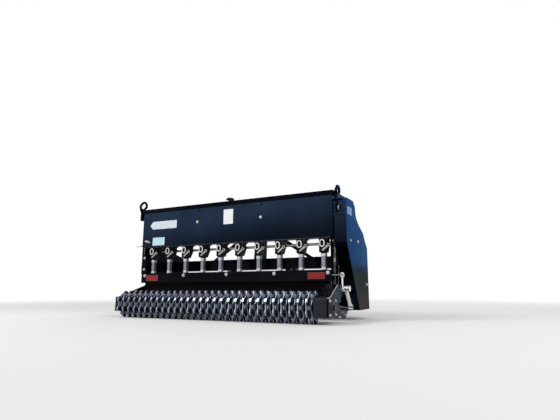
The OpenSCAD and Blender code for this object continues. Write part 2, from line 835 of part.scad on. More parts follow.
module lid_panel() {
  front = hopper_depth + 2;
  color(paint) place() difference() {
    union() {
      translate([-lid_out_x, lid_rear_y, lid_top_z - lid_flange_h])
        cube([2 * lid_out_x, front - lid_rear_y, lid_flange_h]);
      for (x = hinge_x) {
        bar(x - knuckle_len / 2, x + knuckle_len / 2, hinge_y, hinge_z, knuckle_r);
        translate([x - knuckle_len / 2, hopper_depth, lid_under_z])
          cube([knuckle_len, hinge_y - hopper_depth, lid_t]);
      }
    }
    translate([-lid_in_x, lid_rear_y + lid_t, lid_top_z - lid_flange_h - 1])
      cube([2 * lid_in_x, front + 20 - lid_rear_y, lid_flange_h + 1 - lid_t]);
    for (x = hinge_x) bar(x - knuckle_len, x + knuckle_len, hinge_y, hinge_z, hinge_pin_r + running_gap);
  }
}

module lid_knob() {
  color("#0c0c0e") place() translate([0, knob_y, lid_top_z]) rotate_extrude() polygon([
    [0, 0], [knob_r * 0.4, 0], [knob_r * 0.3, 6], [knob_r * 0.3, knob_h - 20], [knob_r, knob_h - 16],
    [knob_r, knob_h - 8], [knob_r * 0.75, knob_h - 1], [0, knob_h]
  ]);
}

// One side of a ring: n feet stand on a rim, the first at angle start
function foot_ring(n, root_r, tip_r, root_half, tip_half, start) = [
  for (k = [0 : n - 1])
    for (s = [[-root_half, root_r], [-tip_half, tip_r], [tip_half, tip_r], [root_half, root_r]])
      let (a = start + k * 360 / n + s[0]) [s[1] * cos(a), s[1] * sin(a)]
];

// The feet narrow from near the rim to their tips: a turned blank from x = 0 to width
module tapered_blank(width, root_r, tip_r, low_taper, high_taper) {
  start_r = root_r + (tip_r - root_r) * 0.15;
  end_r = tip_r + 4;
  rotate([0, 90, 0]) rotate_extrude() polygon([
    [0, 0], [start_r, 0], [end_r, low_taper], [end_r, width - high_taper], [start_r, width], [0, width]
  ]);
}

module roller(axis_y, axis_z, right_end) {
  translate([0, axis_y, axis_z]) {
    bar(-roller_half, roller_half, 0, 0, roller_tube_r);
    bar(-plate_out - 31, right_end, 0, 0, journal_r);
    children();
  }
}

module rear_roller() {
  half_step = 180 / rear_feet;
  color(cast) place() union() roller(rear_axis_y, rear_axis_z, guard_out + 30)
    for (i = [0 : rings - 1], side = [0, 1]) {
      x = -ring_span / 2 + i * ring_pitch + (side - 1) * rear_ring_t;
      intersection() {
        across(x, x + rear_ring_t)
          polygon(foot_ring(rear_feet, rear_root_r, rear_tip_r, 15, rear_half_tip,
            270 - half_step / 2 + side * half_step));
        translate([x, 0, 0])
          tapered_blank(rear_ring_t, rear_root_r, rear_tip_r, side == 0 ? 7 : 1, side == 0 ? 1 : 7);
      }
    }
}

module front_roller() {
  color(cast) place() union() roller(front_axis_y, front_axis_z, plate_out + 31)
    for (i = [0 : rings - 1]) {
      x = -ring_span / 2 + i * ring_pitch - front_ring_t / 2;
      intersection() {
        across(x, x + front_ring_t)
          polygon(foot_ring(front_notches, front_root_r, front_tip_r, 11, front_half_tip,
            270 + 180 / front_notches));
        translate([x, 0, 0]) tapered_blank(front_ring_t, front_root_r, front_tip_r, 8, 8);
      }
    }
}

left_end_plate();
right_end_plate();
front_toolbar();
rear_crossbar();
hitch_mast();
mast_braces();
hitch_lugs();
hitch_pins();
hopper_shell();
hopper_left_end();
hopper_right_end();
hopper_hinges();
agitator();
metering_shaft();
gate_strip();
seed_cups();
cup_rings();
cup_levers();
seed_tubes();
tube_guide();
deflector();
drive_shield();
shield_standoffs();
drive_chain();
chain_wheels();
jackshaft();
rate_bracket();
rate_lever();
left_roller_arm();
right_roller_arm();
stay_link();
stay_pin();
pressure_rod();
rod_bracket();
rear_bearings();
front_bearings();
reflectors();
lifting_rings();
lid_latch();
lid_panel();
lid_knob();
rear_roller();
front_roller();
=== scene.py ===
import math

import bmesh
import bpy
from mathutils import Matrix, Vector


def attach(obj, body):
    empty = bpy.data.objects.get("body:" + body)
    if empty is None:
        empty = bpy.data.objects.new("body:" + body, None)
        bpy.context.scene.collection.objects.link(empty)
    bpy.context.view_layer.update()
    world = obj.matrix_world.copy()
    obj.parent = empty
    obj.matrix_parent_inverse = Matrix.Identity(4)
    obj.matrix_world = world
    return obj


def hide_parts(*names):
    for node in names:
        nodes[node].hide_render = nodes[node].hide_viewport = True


# Seed drill on its two rollers: the CAD frame gets its finishes, bolts, welds, plates and trim here.
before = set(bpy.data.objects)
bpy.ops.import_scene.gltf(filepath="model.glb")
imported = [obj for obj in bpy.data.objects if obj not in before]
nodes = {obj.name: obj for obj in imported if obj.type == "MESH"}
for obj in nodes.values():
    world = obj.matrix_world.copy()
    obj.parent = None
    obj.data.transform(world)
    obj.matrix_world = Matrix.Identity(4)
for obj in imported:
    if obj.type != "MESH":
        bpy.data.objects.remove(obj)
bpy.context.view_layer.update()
midY = 180.886  # the hopper's rear wall stands this far behind the frame's origin, in mm
print("frame loaded:", len(nodes), "nodes")

# what more than one piece is placed by, in mm
machine = {
    "hopperHalf": 920,
    "floorZ": 607,
    "plateIn": 884,
    "plateOut": 894,
    "shieldOut": 1016,
    "leftArmOut": 904,
    "guardOut": 965,
    "bearingT": 10,
    "mastFaces": (27, 39),  # inner and outer face of each mast plate
    "rearAxis": (-207, 107.2275),
    "frontAxis": (440, 125.9135),
    "toolbar": (480, 580, 400, 500),  # rear, front, bottom, top
    "rowX": [(k - 4.5) * 183 for k in range(10)],
}


def spot(x, y, z):
    # millimetres from the hopper's rear wall, to metres in the frame
    return Vector((x / 1000, (y - midY) / 1000, z / 1000))


back, front = Vector((0, -1, 0)), Vector((0, 1, 0))
up, down = Vector((0, 0, 1)), Vector((0, 0, -1))
right, left = Vector((1, 0, 0)), Vector((-1, 0, 0))


class Wire:
    # a node's output; arithmetic on it adds the Math nodes it needs
    def __init__(self, tree, socket=None):
        self.tree = tree
        self.socket = socket

    def put(self, kind, settings=None, sockets=None, out=0):
        node = self.tree.nodes.new(kind)
        for key, value in (settings or {}).items():
            setattr(node, key, value)
        for key, value in (sockets or {}).items():
            if isinstance(value, Wire):
                self.tree.links.new(value.socket, node.inputs[key])
            else:
                node.inputs[key].default_value = value
        return Wire(self.tree, node.outputs[out])

    def maths(self, operation, a, b=0.0):
        return self.put("ShaderNodeMath", {"operation": operation}, {0: a, 1: b})

    def __add__(self, other):
        return self.maths("ADD", self, other)

    __radd__ = __add__

    def __sub__(self, other):
        return self.maths("SUBTRACT", self, other)

    def __rsub__(self, other):
        return self.maths("SUBTRACT", other, self)

    def __mul__(self, other):
        return self.maths("MULTIPLY", self, other)

    __rmul__ = __mul__

    def __truediv__(self, other):
        return self.maths("DIVIDE", self, other)

    def __pow__(self, other):
        return self.maths("POWER", self, other)

    def __abs__(self):
        return self.maths("ABSOLUTE", self)

    def highest(self, other):
        return self.maths("MAXIMUM", self, other)

    def lowest(self, other):
        return self.maths("MINIMUM", self, other)

    def nearest(self):
        return self.maths("ROUND", self)

    def rise(self, low, high):
        # 0 below low, 1 above high, smooth between; high may be the lower one
        sockets = {"Value": self, "From Min": low, "From Max": high}
        return self.put("ShaderNodeMapRange", {"interpolation_type": "SMOOTHSTEP"}, sockets)

    def grain(self, scale, detail=3, stretch=(1, 1, 1)):
        vector = self.put("ShaderNodeMapping", None, {"Vector": self, "Scale": stretch})
        sockets = {"Vector": vector, "Scale": scale, "Detail": detail}
        return self.put("ShaderNodeTexNoise", None, sockets)

    def part(self, letter):
        return self.put("ShaderNodeSeparateXYZ", None, {"Vector": self}, out="XYZ".index(letter))

    def tint(self, first, second):
        # self is the factor between two colours
        a, b = [c if isinstance(c, Wire) else (*c, 1) for c in (first, second)]
        return self.put("ShaderNodeMix", {"data_type": "RGBA"}, {0: self, 6: a, 7: b}, out=2)

    def bump(self, depth, strength=1.0):
        return self.put("ShaderNodeBump", None, {"Strength": strength, "Distance": depth, "Height": self})


def makeFinish(name, recipe, fixed=None):
    # recipe gives what varies over the surface, and fixed the sockets that hold one value
    material = bpy.data.materials.new(name)
    material.use_nodes = True
    tree = material.node_tree
    tree.nodes.clear()
    shader = tree.nodes.new("ShaderNodeBsdfPrincipled")
    output = tree.nodes.new("ShaderNodeOutputMaterial")
    tree.links.new(shader.outputs[0], output.inputs["Surface"])
    start = Wire(tree)
    place = start.put("ShaderNodeTexCoord", out="Object")
    facing = start.put("ShaderNodeTexCoord", out="Normal")
    for key, value in (fixed or {}).items():
        shader.inputs[key].default_value = value
    for key, value in recipe(place, facing).items():
        if isinstance(value, Wire):
            tree.links.new(value.socket, shader.inputs[key])
        else:
            shader.inputs[key].default_value = value
    return material


# colours, and heights in metres where one look goes over into the other
paintLook = {
    "hopper": (0.0020, 0.0048, 0.0120),
    # the paler blue that the painted light gives the paint towards the top
    "litTone": (0.0160, 0.0310, 0.0640),
    "chassis": (0.0017, 0.0025, 0.0050),
    "arms": (0.0180, 0.0225, 0.0300),
    # blue tint of the paint's grazing reflections: a painted reflection of a blue sky
    "skyTint": (0.36, 0.51, 0.80, 1),
    "dust": (0.105, 0.099, 0.090),
    "film": (0.029, 0.042, 0.041),
    "lowFilm": (0.062, 0.054, 0.056),
    "filmTop": (0.46, 0.30),
    "lowFilmTop": (0.27, 0.10),
    "filmColourTop": (0.40, 0.48),
    "gloss": 0.07,
    "roughness": 0.15,
    "sprayTop": (0.5, 0.04),
    "spotsTop": (0.6, 0.1),
    # heights where the painted light begins and where it is full
    "paintedLightRise": (0.56, 0.88),
    "lean": 0.09,  # how much higher the painted light starts for each metre to the right, so the right side keeps more painted shade
    "peel": 340,
    "peelDepth": 0.00032,
}


def powderCoat(deep, litTone, film=0.0):
    # sprayed on steel, with painted light that makes it paler towards the top and painted shade on the
    # right, and dusted low down by the ground; film is the share that dried road spray covers low on a face
    # that looks sideways
    def recipe(place, facing):
        height = place.part("Z")
        haze = place.grain(2.6, 5).rise(0.42, 0.72)
        fine = place.grain(70, 4).rise(0.35, 0.8)
        ledge = facing.part("Z").rise(0.55, 0.95)
        spray = height.rise(*paintLook["sprayTop"])
        spots = place.grain(115, 2).rise(0.70, 0.78) * height.rise(*paintLook["spotsTop"])
        runs = place.grain(16, 3, (1, 1, 0.12)).rise(0.5, 0.8)
        settled = haze * 0.02 + ledge * (0.03 + fine * 0.07)
        splashed = spray * (0.02 + fine * 0.05) + runs * spray * 0.07 + spots * 0.2
        dust = (settled + splashed).lowest(0.8)
        dustColour = paintLook["dust"]
        if film:
            sideways = facing.part("X").rise(0.4, 0.9)
            dust = dust.highest(height.rise(*paintLook["filmTop"]) * sideways * (film - runs * 0.12))
            dustColour = height.rise(*paintLook["lowFilmTop"]).tint(paintLook["film"], paintLook["lowFilm"])
            dustColour = height.rise(*paintLook["filmColourTop"]).tint(dustColour, paintLook["dust"])
        scuff = place.grain(38, 4, (0.25, 1, 1)).rise(0.62, 0.7)
        peel = place.grain(paintLook["peel"], 2)
        sway = place.grain(3.4, 1)
        lightReach = height if film else height - place.part("X") * paintLook["lean"]
        # painted light: paler towards the top, starting higher further to the right, so the right side is
        # painted in shade
        paintedLight = lightReach.rise(*paintLook["paintedLightRise"]) * (0.75 + haze * 0.25)
        look = {
            "Base Color": dust.tint(paintedLight.tint(deep, litTone), dustColour),
            "Metallic": 1 - dust,
            "Roughness": paintLook["roughness"] + dust * 0.55 + scuff * 0.08 + haze * 0.05,
            "Normal": (peel * 0.5 + sway * 14).bump(paintLook["peelDepth"], 0.6),
        }
        if film:
            look["Coat Weight"] = (1 - dust) * paintLook["gloss"]
        return look

    return recipe


# near black, darker than the painted chassis: a matt black sheet that also stands in for painted shade
# under the crossbar
mattLook = {"sheet": (0.0014, 0.0016, 0.0026), "mud": (0.05, 0.046, 0.04), "mudTop": (0.29, 0.2)}


def mattSheet(place, facing):
    weave = place.grain(300, 2)
    mud = place.grain(20, 5).rise(0.55, 0.8) * place.part("Z").rise(*mattLook["mudTop"])
    return {
        "Base Color": (mud * 0.5).tint(mattLook["sheet"], mattLook["mud"]),
        "Roughness": 0.5 + mud * 0.3 + weave * 0.1,
        "Normal": weave.bump(0.0003, 0.5),
    }


ironLook = {
    "skin": (0.017, 0.022, 0.036),
    "deep": (0.004, 0.005, 0.009),
    "tip": (0.095, 0.118, 0.165),
    # colour of the painted highlight along the ring corners
    "edge": (0.72, 0.80, 0.96),
    "soil": (0.055, 0.046, 0.038),
    "pitch": 0.060,
    "highlightLine": (0.0072, 0.0024),
}


def rollerIron(axis, rootR, tipR, halfWidth, taper):
    # rings stand at each multiple of the pitch; the ground has polished their tips,
    # and their corners carry a painted highlight, brightest on the left corners
    axisY = (axis[0] - midY) / 1000
    axisZ = axis[1] / 1000
    root = rootR / 1000
    slopeStart = (rootR + (tipR - rootR) * 0.15) / 1000
    slopeEnd = (tipR + 4) / 1000

    def recipe(place, facing):
        y = place.part("Y") - axisY
        z = place.part("Z") - axisZ
        radius = (y * y + z * z) ** 0.5
        along = place.part("X") / ironLook["pitch"]
        offset = along - along.nearest()
        # the painted highlight along the ring corners is brighter on each ring's left corner
        litLeft = offset.rise(0.02, -0.02) * 0.60 + 0.40
        sockets = {"Value": radius, "From Min": slopeStart, "From Max": slopeEnd}
        slope = radius.put("ShaderNodeMapRange", None, sockets)
        gap = abs(offset) * ironLook["pitch"] - (halfWidth / 1000 - slope * (taper / 1000))
        cast = place.grain(240, 3)
        patch = place.grain(22, 4)
        edge = abs(gap).rise(*ironLook["highlightLine"]) * radius.rise(root - 0.008, root - 0.002)
        edge = edge * litLeft * (0.5 + patch * 0.7).lowest(1.0)
        tip = (radius + (patch - 0.5) * 0.010).rise(tipR / 1000 - 0.014, tipR / 1000)
        soil = radius.rise(root + 0.010, root - 0.012) * patch.rise(0.44, 0.7) * 0.7
        skin = cast.rise(0.3, 0.7).tint(ironLook["deep"], ironLook["skin"])
        ground = tip.tint(soil.tint(skin, ironLook["soil"]), ironLook["tip"])
        return {
            "Base Color": edge.tint(ground, ironLook["edge"]),
            "Metallic": (0.6 + tip.highest(edge) * 0.4) * (1 - soil),
            "Roughness": (0.40 + soil * 0.35 - tip * 0.13).highest(0.2),
            "Normal": (cast * (1 - tip * 0.7) + patch * 0.8).bump(0.0007, 0.55),
        }

    return recipe


# deep, pale and greasy
castTones = {
    "housing": ((0.013, 0.014, 0.018), (0.034, 0.037, 0.045), (0.020, 0.018, 0.016)),
    "cup": ((0.0035, 0.0040, 0.0062), (0.0090, 0.0100, 0.0140), (0.006, 0.006, 0.007)),
}


def castIron(deep, pale, grease):
    def recipe(place, facing):
        cast = place.grain(260, 3)
        patch = place.grain(26, 4)
        wet = patch.rise(0.56, 0.74)
        return {
            "Base Color": wet.tint(patch.tint(deep, pale), grease),
            "Metallic": 0.4 * (1 - wet),
            "Roughness": 0.46 - wet * 0.2 + cast * 0.1,
            "Normal": (cast + patch).bump(0.0006, 0.6),
        }

    return recipe


zincLook = {
    "bright": (0.74, 0.745, 0.74),
    "dull": (0.48, 0.49, 0.50),
    "aged": (0.105, 0.105, 0.115),
    "agedDull": (0.040, 0.041, 0.048),
    "soil": (0.17, 0.135, 0.1),
    "soilTop": (0.7, 0.2),
    "spangle": 95.0,
}


def zincPlate(dull, bright):
    def recipe(place, facing):
        cells = {"Vector": place, "Scale": zincLook["spangle"]}
        spangle = place.put("ShaderNodeTexVoronoi", None, cells, out="Color").part("X")
        cloud = place.grain(9, 4).rise(0.3, 0.75)
        fine = place.grain(150, 3)
        soil = place.part("Z").rise(*zincLook["soilTop"]) * place.grain(40, 4).rise(0.5, 0.78) * 0.4
        shade = (cloud * 0.7 + spangle * 0.3).tint(dull, bright)
        return {
            "Base Color": soil.tint(shade, zincLook["soil"]),
            "Metallic": 0.88 - soil * 0.6,
            "Roughness": 0.27 + cloud * 0.1 + spangle * 0.08 + soil * 0.4,
            "Normal": (fine + spangle * 0.5).bump(0.00018, 0.5),
        }

    return recipe


# dull, clear and stained
steelTones = {
    "bright": ((0.74, 0.745, 0.75), (0.90, 0.90, 0.89), (0.42, 0.38, 0.32)),
    "lever": ((0.27, 0.265, 0.25), (0.52, 0.51, 0.47), (0.16, 0.14, 0.11)),
    "ring": ((0.42, 0.425, 0.43), (0.78, 0.785, 0.79), (0.18, 0.16, 0.13)),
    "dim": ((0.15, 0.155, 0.165), (0.27, 0.275, 0.28), (0.12, 0.10, 0.08)),
}


def drawnSteel(dull, clear, stained):
    def recipe(place, facing):
        drawn = place.grain(34, 3, (1, 1, 0.05))
        stain = place.grain(18, 4).rise(0.58, 0.85) * 0.7
        return {
            "Base Color": stain.tint(drawn.tint(dull, clear), stained),
            "Metallic": 1.0 - stain * 0.3,
            "Roughness": 0.2 + drawn * 0.12 + stain * 0.25,
            "Normal": drawn.bump(0.0002, 0.4),
        }

    return recipe


chainTones = {
    "dark": (0.075, 0.073, 0.072),
    # light grey of the painted highlight on the chain's upper part
    "wiped": (0.50, 0.50, 0.50),
    "grease": (0.022, 0.021, 0.020),
    "rust": (0.060, 0.032, 0.020),
    "highlightFrom": (0.40, 0.47),
}


def oiledChain(place, facing):
    cloud = place.grain(60, 4)
    rust = place.grain(24, 4).rise(0.52, 0.72)
    grease = place.grain(9, 2).rise(0.45, 0.6)
    # painted highlight: patches on the chain's upper part are painted light grey
    wiped = place.part("Z").rise(*chainTones["highlightFrom"]) * place.grain(28, 2).rise(0.40, 0.55)
    steel = wiped.tint(chainTones["dark"], chainTones["wiped"])
    oiled = (grease * 0.8).tint(steel, chainTones["grease"])
    return {
        "Base Color": (rust * 0.6).tint(oiled, chainTones["rust"]),
        "Metallic": 0.9 - rust * 0.4,
        "Roughness": 0.34 + rust * 0.25 + cloud * 0.12 - grease * 0.1,
        "Normal": cloud.bump(0.0005, 0.5),
    }


tubeLook = {
    "pale": (0.37, 0.375, 0.46),
    "grey": (0.215, 0.22, 0.275),
    # colour of the painted shade on the tubes' sides
    "sideShade": (0.035, 0.036, 0.046),
    "sideShadeShare": 0.95,
    "endHighlight": (0.86, 0.90, 0.96),
    "dust": (0.24, 0.22, 0.20),
    "endHighlightTop": (0.392, 0.384),
    "collarLow": (0.462, 0.466),
}


def seedTube(place, facing):
    height = place.part("Z")
    # painted highlight: the low end and the collar of each tube are painted near white, less on the shaded
    # right side
    endHighlight = height.rise(*tubeLook["endHighlightTop"])
    ends = (endHighlight + height.rise(*tubeLook["collarLow"]) * 0.7).lowest(1.0)
    streak = place.grain(120, 3, (1, 1, 0.06))
    cloud = place.grain(14, 4)
    dust = cloud.rise(0.5, 0.8) * 0.3
    body = (cloud * 0.6 + streak * 0.4).tint(tubeLook["grey"], tubeLook["pale"])
    across = facing.part("X")
    # painted shade: the right side is darkened, the left side half as much, and the rear is left as it is
    sideShade = (across.rise(0.50, 0.85) + across.rise(-0.70, -1.0) * 0.5) * tubeLook["sideShadeShare"]
    body = sideShade.tint(body, tubeLook["sideShade"])
    ends = ends * (1 - sideShade * 0.75)
    return {
        "Base Color": (ends * 0.9).tint(dust.tint(body, tubeLook["dust"]), tubeLook["endHighlight"]),
        "Roughness": 0.36 + streak * 0.12 + dust * 0.3,
        "Normal": (streak * 0.7 + cloud * 0.5).bump(0.0004, 0.5),
    }


reflectorLook = {
    "deep": (0.045, 0.002, 0.004),
    "dark": (0.09, 0.004, 0.006),
    "red": (0.36, 0.011, 0.014),
    "rim": (0.30, 0.06, 0.065),
    "prism": 240.0,
}


def reflectorRed(place, facing):
    # the lens's own UV runs from -1 to 1 each way
    flat = place.put("ShaderNodeTexCoord", out="UV")
    u, v = flat.part("X"), flat.part("Y")
    edge = (abs(u) * 2.4 - 1.4).highest(abs(v))
    cell = {"Vector": place, "Scale": reflectorLook["prism"], "Randomness": 0.0}
    prism = place.put("ShaderNodeTexVoronoi", {"distance": "CHEBYCHEV"}, cell)
    # painted highlight: the lens is painted brighter red towards its middle and darker towards its edges
    middleHighlight = edge.rise(0.90, 0.10)
    rim = edge.rise(0.66, 0.74) * edge.rise(0.92, 0.84)
    red = (middleHighlight * 0.8 + prism * 0.5).lowest(1.0).tint(reflectorLook["dark"], reflectorLook["red"])
    outer = edge.rise(0.88, 0.97)
    return {
        "Base Color": outer.tint((rim * 0.75).tint(red, reflectorLook["rim"]), reflectorLook["deep"]),
        "Roughness": 0.14 + place.grain(30, 3) * 0.14,
        "Normal": (prism * (1 - rim)).bump(0.0006, 0.35),
    }


mouldedLook = {"black": (0.012, 0.012, 0.013), "wiped": (0.035, 0.033, 0.031)}


def mouldedBlack(place, facing):
    pores = place.grain(420, 2)
    wipe = place.grain(30, 4)
    return {
        "Base Color": wipe.rise(0.5, 0.8).tint(mouldedLook["black"], mouldedLook["wiped"]),
        "Roughness": 0.32 + wipe * 0.25,
        "Normal": pores.bump(0.0003, 0.5),
    }


# clean and dirty
sheetTones = {
    "white": ((0.84, 0.86, 0.85), (0.56, 0.54, 0.50)),
    "cool": ((0.64, 0.72, 0.77), (0.44, 0.45, 0.45)),
    "paleBlue": ((0.52, 0.74, 0.83), (0.36, 0.46, 0.50)),
    "blue": ((0.10, 0.21, 0.45), (0.08, 0.13, 0.24)),
}


def blankSheet(pale, shade):
    def recipe(place, facing):
        cloud = place.grain(24, 4)
        speck = place.grain(210, 2).rise(0.66, 0.74)
        dirt = cloud.rise(0.45, 0.8) * 0.3 + speck * 0.3
        return {
            "Base Color": dirt.tint(pale, shade),
            "Roughness": 0.3 + cloud * 0.25,
            "Normal": (cloud + speck * 0.3).bump(0.0002, 0.5),
        }

    return recipe


weldLook = {"coat": (0.010, 0.012, 0.018), "scale": (0.03, 0.03, 0.034)}


def weldBead(place, facing):
    scale = place.grain(180, 3)
    return {
        "Base Color": scale.tint(weldLook["coat"], weldLook["scale"]),
        "Roughness": 0.25 + scale * 0.2,
        "Normal": scale.bump(0.0006, 0.6),
    }


finish = {
    "paint": makeFinish(
        "navy black powder coat", powderCoat(paintLook["hopper"], paintLook["litTone"]),
        {"Specular Tint": paintLook["skyTint"], "Coat Weight": paintLook["gloss"], "Coat Roughness": 0.06},
    ),
    "shield": makeFinish(
        "powder coat under road film", powderCoat(paintLook["hopper"], paintLook["litTone"], film=0.95),
        {"Specular Tint": paintLook["skyTint"], "Specular IOR Level": 0.0, "Coat Roughness": 0.06},
    ),
    "chassis": makeFinish(
        "black powder coat", powderCoat(paintLook["chassis"], paintLook["chassis"]),
        {"Specular Tint": (0.50, 0.58, 0.70, 1), "Coat Weight": 0.04, "Coat Roughness": 0.08},
    ),
    "arms": makeFinish(
        "worn black powder coat", powderCoat(paintLook["arms"], paintLook["arms"]),
        {"Specular Tint": (0.55, 0.60, 0.68, 1), "Coat Weight": 0.1, "Coat Roughness": 0.1},
    ),
    "matt": makeFinish("matt black sheet", mattSheet, {"Specular IOR Level": 0.05}),
    "rearIron": makeFinish(
        "rear ring iron", rollerIron(machine["rearAxis"], rootR=84, tipR=108, halfWidth=21, taper=7),
    ),
    "frontIron": makeFinish(
        "front ring iron", rollerIron(machine["frontAxis"], rootR=100, tipR=127, halfWidth=13, taper=8),
    ),
    "housing": makeFinish("bearing iron", castIron(*castTones["housing"])),
    "cup": makeFinish("black cast cup", castIron(*castTones["cup"]), {"Specular IOR Level": 0.10}),
    "zinc": makeFinish("bright zinc", zincPlate(zincLook["dull"], zincLook["bright"])),
    "agedZinc": makeFinish("dulled zinc", zincPlate(zincLook["agedDull"], zincLook["aged"])),
    "bright": makeFinish("bright drawn steel", drawnSteel(*steelTones["bright"])),
    "midSteel": makeFinish("worn lever steel", drawnSteel(*steelTones["lever"])),
    "ringSteel": makeFinish("worn ring steel", drawnSteel(*steelTones["ring"])),
    "dim": makeFinish("dim drawn steel", drawnSteel(*steelTones["dim"])),
    "chain": makeFinish("oiled chain", oiledChain),
    "tube": makeFinish("pale seed tube", seedTube, {"Specular IOR Level": 0.3}),
    "red": makeFinish(
        "red reflector", reflectorRed,
        {"Specular IOR Level": 0.2, "Coat Weight": 0.15, "Coat Roughness": 0.04},
    ),
    "knob": makeFinish("moulded black", mouldedBlack, {"Specular IOR Level": 0.2}),
    "white": makeFinish("blank white plate", blankSheet(*sheetTones["white"])),
    "cool": makeFinish("blank cool white plate", blankSheet(*sheetTones["cool"])),
    "paleBlue": makeFinish("blank pale blue label", blankSheet(*sheetTones["paleBlue"])),
    "blue": makeFinish("blank mid blue label", blankSheet(*sheetTones["blue"])),
    "weld": makeFinish("painted weld", weldBead),
}
print("finishes made:", len(finish))

# which finish each node of the frame wears
wears = {
    "paint": "hopper_shell hopper_left_end hopper_right_end",
    "shield": "drive_shield",
    "chassis": "left_end_plate right_end_plate front_toolbar rear_crossbar hitch_mast mast_braces "
    "hitch_lugs tube_guide lifting_rings lid_panel",
    "arms": "left_roller_arm right_roller_arm",
    "matt": "deflector",
    "rearIron": "rear_roller",
    "frontIron": "front_roller",
    "housing": "chain_wheels rear_bearings front_bearings",
    "cup": "seed_cups",
    "zinc": "hopper_hinges rate_bracket rate_lever shield_standoffs",
    "agedZinc": "gate_strip",
    "bright": "hitch_pins jackshaft stay_link pressure_rod",
    "midSteel": "cup_levers metering_shaft",
    "ringSteel": "cup_rings",
    "dim": "agitator stay_pin lid_latch rod_bracket",
    "chain": "drive_chain",
    "tube": "seed_tubes",
    "knob": "lid_knob reflectors",
}
# rounded edges, in mm, by node: sheet and flat bar, then folded sheet, square tube and castings
edges = {
    1.2: "left_end_plate right_end_plate hitch_mast mast_braces hitch_lugs rod_bracket left_roller_arm "
    "rate_bracket rate_lever seed_cups cup_levers gate_strip hopper_shell hopper_left_end "
    "hopper_right_end tube_guide lid_panel",
    2.5: "front_toolbar rear_crossbar drive_shield right_roller_arm rear_bearings front_bearings",
}
edgeLook = {"merge": 0.00002, "segments": 2, "sharper": 40}  # in metres, steps and degrees


def dressNode(name, material):
    node = nodes[name]
    node.data.materials.clear()
    node.data.materials.append(material)


def roundEdges(name, width):
    # the triangles' corners are merged first, as they come loose from the solid
    node = nodes[name]
    weld = node.modifiers.new("merge", "WELD")
    weld.merge_threshold = edgeLook["merge"]
    bevel = node.modifiers.new("edges", "BEVEL")
    bevel.width = width / 1000
    bevel.segments = edgeLook["segments"]
    bevel.limit_method = "ANGLE"
    bevel.angle_limit = math.radians(edgeLook["sharper"])
    bevel.harden_normals = True
    bevel.use_clamp_overlap = True


for key, names in wears.items():
    for name in names.split():
        dressNode(name, finish[key])
for width, names in edges.items():
    for name in names.split():
        roundEdges(name, width)
print("frame dressed")


def addPiece(name, mesh, material, body, smooth=None):
    piece = bpy.data.objects.new(name, mesh)
    bpy.context.scene.collection.objects.link(piece)
    mesh.materials.clear()
    mesh.materials.append(material)
    if smooth:
        mesh.shade_smooth()
        mesh.set_sharp_from_angle(angle=math.radians(smooth))
    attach(piece, body)
    return piece


def closedMesh(name, build):
    mesh = bpy.data.meshes.new(name)
    bm = bmesh.new()
    build(bm)
    bmesh.ops.remove_doubles(bm, verts=bm.verts, dist=1e-6)
    bmesh.ops.recalc_face_normals(bm, faces=bm.faces)
    bm.to_mesh(mesh)
    bm.free()
    return mesh


def slab(bm, corners, thickness, along):
    # a plate from a ring of points, thickened along a direction
    low = [bm.verts.new(c) for c in corners]
    high = [bm.verts.new(c + along * thickness / 1000) for c in corners]
    bm.faces.new(low)
    bm.faces.new(high[::-1])
    for i in range(len(low)):
        j = (i + 1) % len(low)
        bm.faces.new((low[i], high[i], high[j], low[j]))


def slabMesh(name, corners, thickness, along):
    return closedMesh(name, lambda bm: slab(bm, corners, thickness, along))


def softenPlate(piece, width):
    bevel = piece.modifiers.new("edges", "BEVEL")
    bevel.width = width / 1000
    bevel.segments = edgeLook["segments"]
    bevel.limit_method = "ANGLE"
    bevel.harden_normals = True


# blank plates and labels, each an outline in mm as it lies on the rear wall or on the shield's side
plates = {
    "arrowPlate": {
        "points": [(-832, 795), (-800, 830), (-529, 830), (-529, 760), (-800, 760)],
        "on": "rearWall",
        "finish": "cool",
        "thick": 2.0,
        "corner": 3,
    },
    "squareLabel": {
        "points": [(-35, 880), (58, 880), (58, 756), (-35, 756)],
        "on": "rearWall",
        "finish": "white",
        "thick": 0.8,
        "corner": 4,
    },
    "footLabel": {
        "points": [(-797, 684), (-660, 684), (-660, 613), (-797, 613)],
        "on": "rearWall",
        "finish": "paleBlue",
        "thick": 0.8,
        "corner": 4,
    },
    "shieldLabel": {
        "points": [(46, 829), (160, 829), (160, 770), (46, 770)],
        "on": "shield",
        "finish": "blue",
        "thick": 0.8,
        "corner": 5,
    },
}


def roundedOutline(points, radius, steps=4):
    # corners of a flat outline turned into short arcs
    result = []
    count = len(points)
    for i, here in enumerate(points):
        a = Vector(points[i - 1]) - Vector(here)
        b = Vector(points[(i + 1) % count]) - Vector(here)
        start = Vector(here) + a.normalized() * radius
        end = Vector(here) + b.normalized() * radius
        for k in range(steps + 1):
            t = k / steps
            result.append(start * (1 - t) ** 2 + Vector(here) * 2 * t * (1 - t) + end * t * t)
    return result


for name, plate in plates.items():
    outline = roundedOutline(plate["points"], plate["corner"])
    if plate["on"] == "shield":
        corners = [spot(machine["shieldOut"], p.x, p.y) for p in outline]
        mesh = slabMesh(name, corners, plate["thick"], right)
    else:
        corners = [spot(p.x, 0, p.y) for p in outline]
        mesh = slabMesh(name, corners, plate["thick"], back)
    addPiece(name, mesh, finish[plate["finish"]], "root")
print("blank plates made")


reflectorPair = {
    "lens": ((-840, -702), (718, 856)),
    "height": (297, 349),
    "mountEnd": 892,  # the mounts reach out to where the solid reflectors end
    "mountSide": 6,
    "mountRim": 5,
    "mountT": 3,
    "lensT": 5,
    "rear": -4,
    "corner": 5,
    "soft": 1.5,
}


